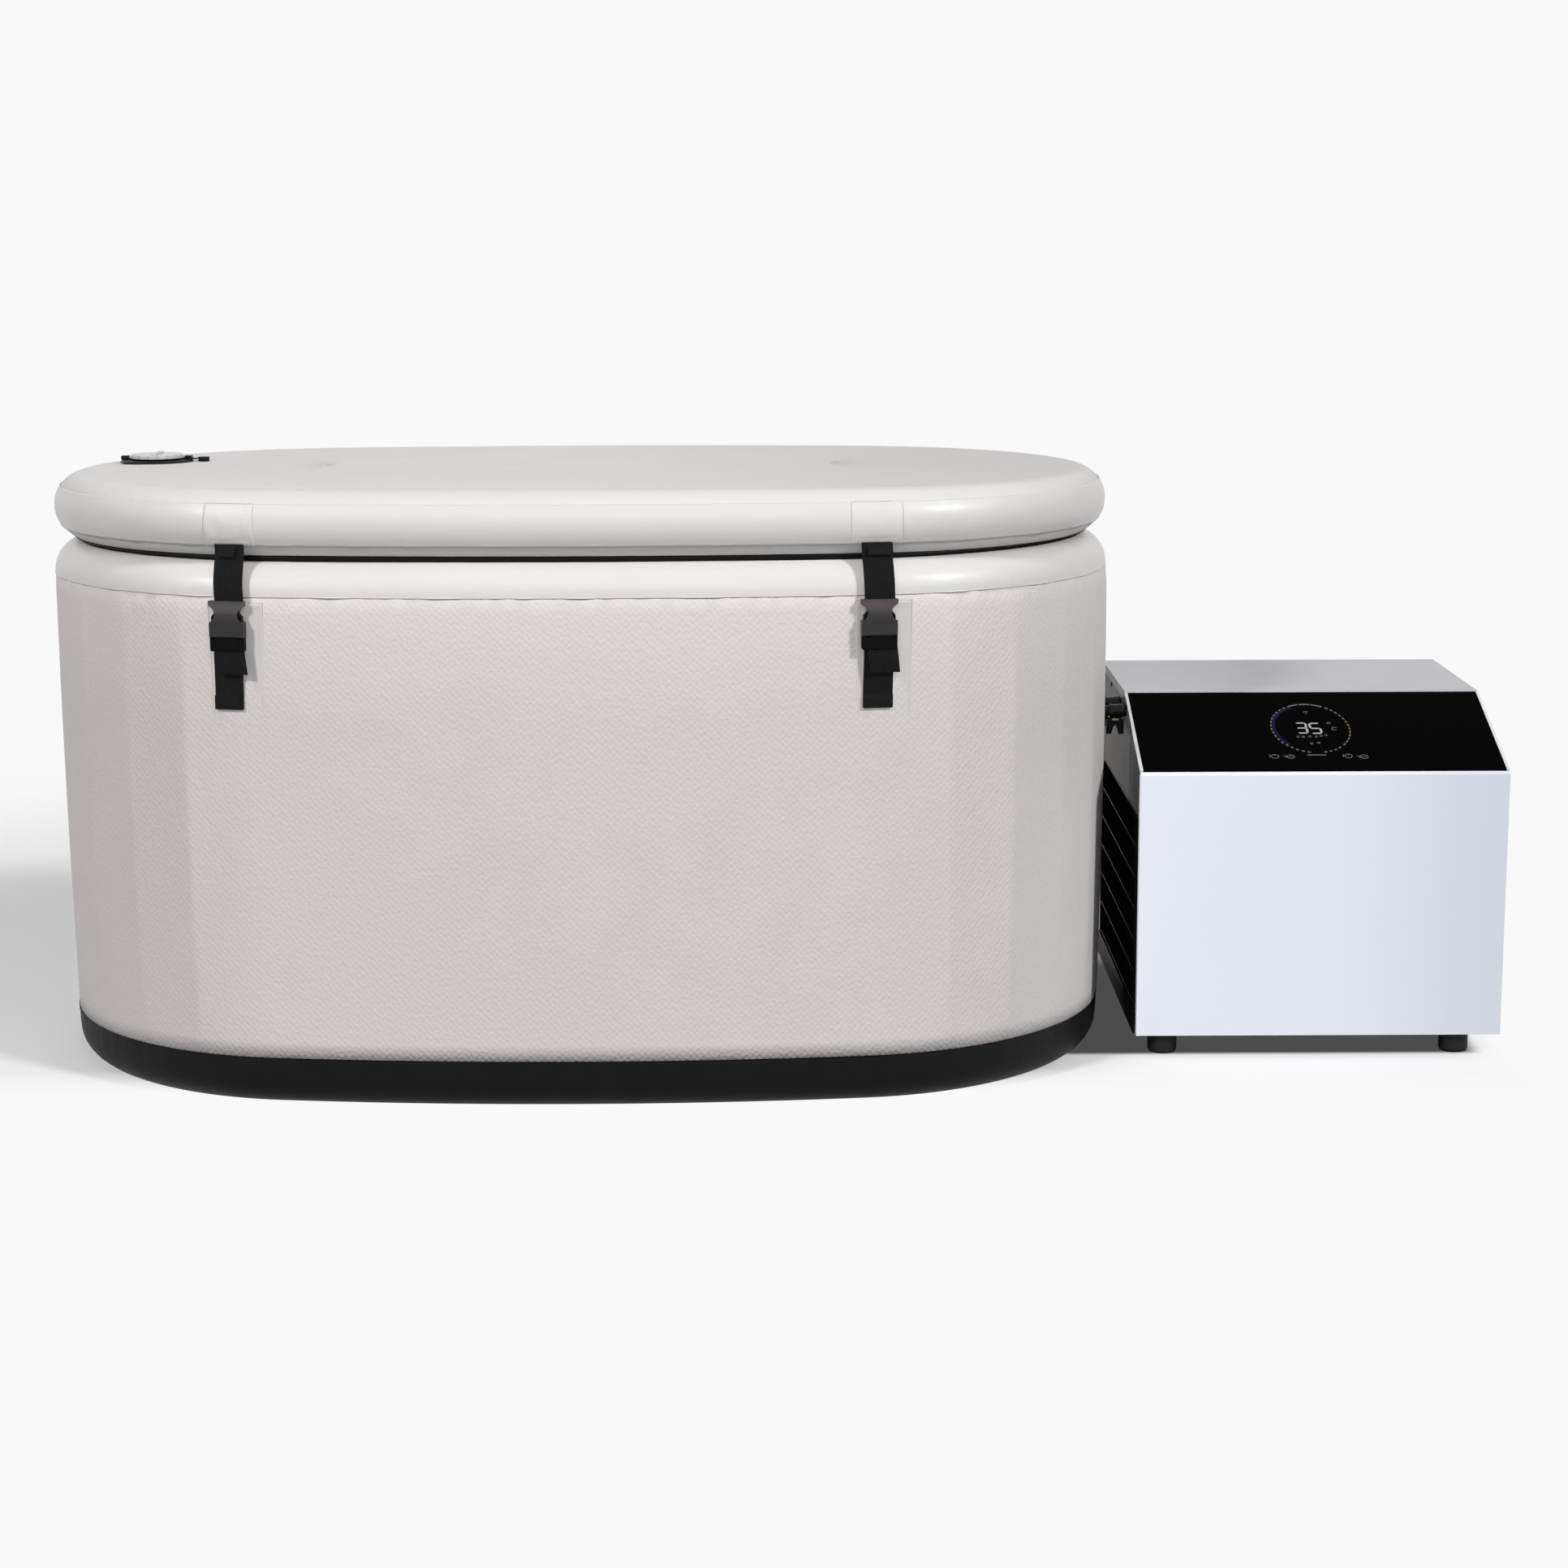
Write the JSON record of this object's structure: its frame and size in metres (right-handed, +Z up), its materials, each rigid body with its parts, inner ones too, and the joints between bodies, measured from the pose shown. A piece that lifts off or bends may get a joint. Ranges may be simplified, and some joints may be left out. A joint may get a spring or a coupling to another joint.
{
  "type": "hot and cold plunge tub",
  "caption": "Oval inflatable plunge tub with a buckled inflatable lid, close-coupled to a water chiller and heater unit with a slanted control panel.",
  "frame": {"origin": "on the floor under the middle of the tub", "axes": "+X along the tub towards the chiller, +Y to the back, +Z up"},
  "size_m": [2.0622, 0.9029, 0.8513],
  "materials": {
    "black_sheet": "matt wear sheet",
    "wall_fabric": "satin coated drop-stitch fabric",
    "rim_fabric": "smooth satin coated fabric",
    "patch_fabric": "smooth satin coated fabric",
    "webbing": "woven webbing",
    "buckle_plastic": "satin",
    "black_plastic": "satin",
    "white_plastic": "gloss",
    "clear_plastic": "gloss",
    "brass": "turned",
    "galvanised": "satin",
    "foot_rubber": "matt",
    "white_paint": "satin powder coat",
    "silver_paint": "satin powder coat",
    "grey_paint": "satin powder coat",
    "black_glass": "gloss",
    "bright_trim": "bright",
    "circuit_board": "matt",
    "fins": "plain",
    "dark_paint": "satin",
    "titanium": "satin",
    "grey_plastic": "satin"
  },
  "bodies": {
    "tub_and_chiller": {"base_sheet": "black_sheet", "base_band": "black_sheet", "tub_floor": "wall_fabric", "tub_wall": "wall_fabric", "rim_cover": "rim_fabric", "tub_patches": "patch_fabric", "tub_straps": "webbing", "buckle_male_left": "buckle_plastic", "buckle_male_right": "buckle_plastic", "tub_valve_body": "black_plastic", "tub_valve_tether": "black_plastic", "drain_body": "black_plastic", "wall_fittings": "black_plastic", "strainer": "black_plastic", "return_jet": "black_plastic", "valve_shells": "black_plastic", "union_nuts": "black_plastic", "gland_nuts": "brass", "base_pan": "galvanised", "chiller_feet": "foot_rubber", "front_panel": "white_paint", "top_cover": "silver_paint", "side_panels": "grey_paint", "rear_panel": "grey_paint", "louvres": "black_plastic", "control_glass": "black_glass", "glass_trim": "bright_trim", "display_board": "circuit_board", "condenser": "fins", "fan_shroud": "black_plastic", "fan_motor": "dark_paint", "compressor": "dark_paint", "heat_exchanger": "titanium", "water_pump": "black_plastic", "inner_pipes": "grey_plastic", "control_box": "grey_plastic", "mains_gland": "black_plastic", "mains_bezel": "black_plastic", "case_screws": "dark_paint"},
    "lid": {"lid_pad": "wall_fabric", "lid_edge_band": "rim_fabric", "lid_patches": "patch_fabric", "lid_straps": "webbing", "buckle_female_left": "buckle_plastic", "buckle_female_right": "buckle_plastic", "lid_valve_body": "black_plastic", "lid_valve_tether": "black_plastic"},
    "left_prong_a": {"prong_left_a": "buckle_plastic"},
    "left_prong_b": {"prong_left_b": "buckle_plastic"},
    "right_prong_a": {"prong_right_a": "buckle_plastic"},
    "right_prong_b": {"prong_right_b": "buckle_plastic"},
    "lid_pin": {"lid_valve_pin": "white_plastic"},
    "lid_cap": {"lid_valve_cap": "clear_plastic"},
    "tub_pin": {"tub_valve_pin": "white_plastic"},
    "tub_cap": {"tub_valve_cap": "clear_plastic"},
    "drain_key": {"drain_lever": "black_plastic"},
    "front_port_key": {"front_valve_lever": "black_plastic"},
    "rear_port_key": {"rear_valve_lever": "black_plastic"},
    "fan": {"fan_blades": "white_plastic"},
    "rocker": {"mains_rocker": "black_plastic"}
  },
  "joints": [
    {"name": "lid_lift", "type": "slide", "parent": "tub_and_chiller", "child": "lid", "axis": [0, 0, 1], "range_m": [0, 0.3]},
    {"name": "left_prong_a_flex", "type": "hinge", "parent": "tub_and_chiller", "child": "left_prong_a", "pos_m": [-0.46065, -0.39198, 0.645], "axis": [0.2261, 0.9741, 0], "range_deg": [0, 5], "stiffness_Nm_per_rad": 2.9},
    {"name": "left_prong_b_flex", "type": "hinge", "parent": "tub_and_chiller", "child": "left_prong_b", "pos_m": [-0.42714, -0.39976, 0.645], "axis": [-0.2261, -0.9741, 0], "range_deg": [0, 5], "stiffness_Nm_per_rad": 2.9},
    {"name": "right_prong_a_flex", "type": "hinge", "parent": "tub_and_chiller", "child": "right_prong_a", "pos_m": [0.39626, -0.40435, 0.645], "axis": [-0.1508, 0.9886, 0], "range_deg": [0, 5], "stiffness_Nm_per_rad": 2.9},
    {"name": "right_prong_b_flex", "type": "hinge", "parent": "tub_and_chiller", "child": "right_prong_b", "pos_m": [0.43027, -0.39916, 0.645], "axis": [0.1508, -0.9886, 0], "range_deg": [0, 5], "stiffness_Nm_per_rad": 2.9},
    {"name": "lid_pin_push", "type": "slide", "parent": "lid", "child": "lid_pin", "axis": [0, 0, -1], "range_m": [0, 0.004], "stiffness_N_per_m": 900},
    {"name": "lid_cap_turn", "type": "hinge", "parent": "lid", "child": "lid_cap", "pos_m": [-0.622, 0.07, 0.8383], "axis": [0, 0, 1], "range_deg": [0, 90]},
    {"name": "tub_pin_push", "type": "slide", "parent": "tub_and_chiller", "child": "tub_pin", "axis": [-0.093, -0.9956, 0.0086], "range_m": [0, 0.004], "stiffness_N_per_m": 900},
    {"name": "tub_cap_turn", "type": "hinge", "parent": "tub_and_chiller", "child": "tub_cap", "pos_m": [0.3, 0.40517, 0.6], "axis": [0.093, 0.9956, -0.0086], "range_deg": [0, 90]},
    {"name": "drain_turn", "type": "hinge", "parent": "tub_and_chiller", "child": "drain_key", "pos_m": [0, 0.44288, 0.102], "axis": [0, 0, 1], "range_deg": [0, 90]},
    {"name": "front_port_turn", "type": "hinge", "parent": "tub_and_chiller", "child": "front_port_key", "pos_m": [0.7754, 0.06, 0.467], "axis": [0, 0, 1], "range_deg": [0, 90]},
    {"name": "rear_port_turn", "type": "hinge", "parent": "tub_and_chiller", "child": "rear_port_key", "pos_m": [0.7754, 0.13, 0.467], "axis": [0, 0, 1], "range_deg": [0, 90]},
    {"name": "fan_spin", "type": "hinge", "parent": "tub_and_chiller", "child": "fan", "pos_m": [0.858, 0.115, 0.195], "axis": [1, 0, 0], "continuous": true},
    {"name": "mains_switch", "type": "hinge", "parent": "tub_and_chiller", "child": "rocker", "pos_m": [0.94, 0.385, 0.09], "axis": [1, 0, 0], "range_deg": [0, 16]}
  ],
  "couplings": [
    {"joint": "left_prong_b_flex", "follows": "left_prong_a_flex", "ratio": 1},
    {"joint": "right_prong_b_flex", "follows": "right_prong_a_flex", "ratio": 1}
  ]
}
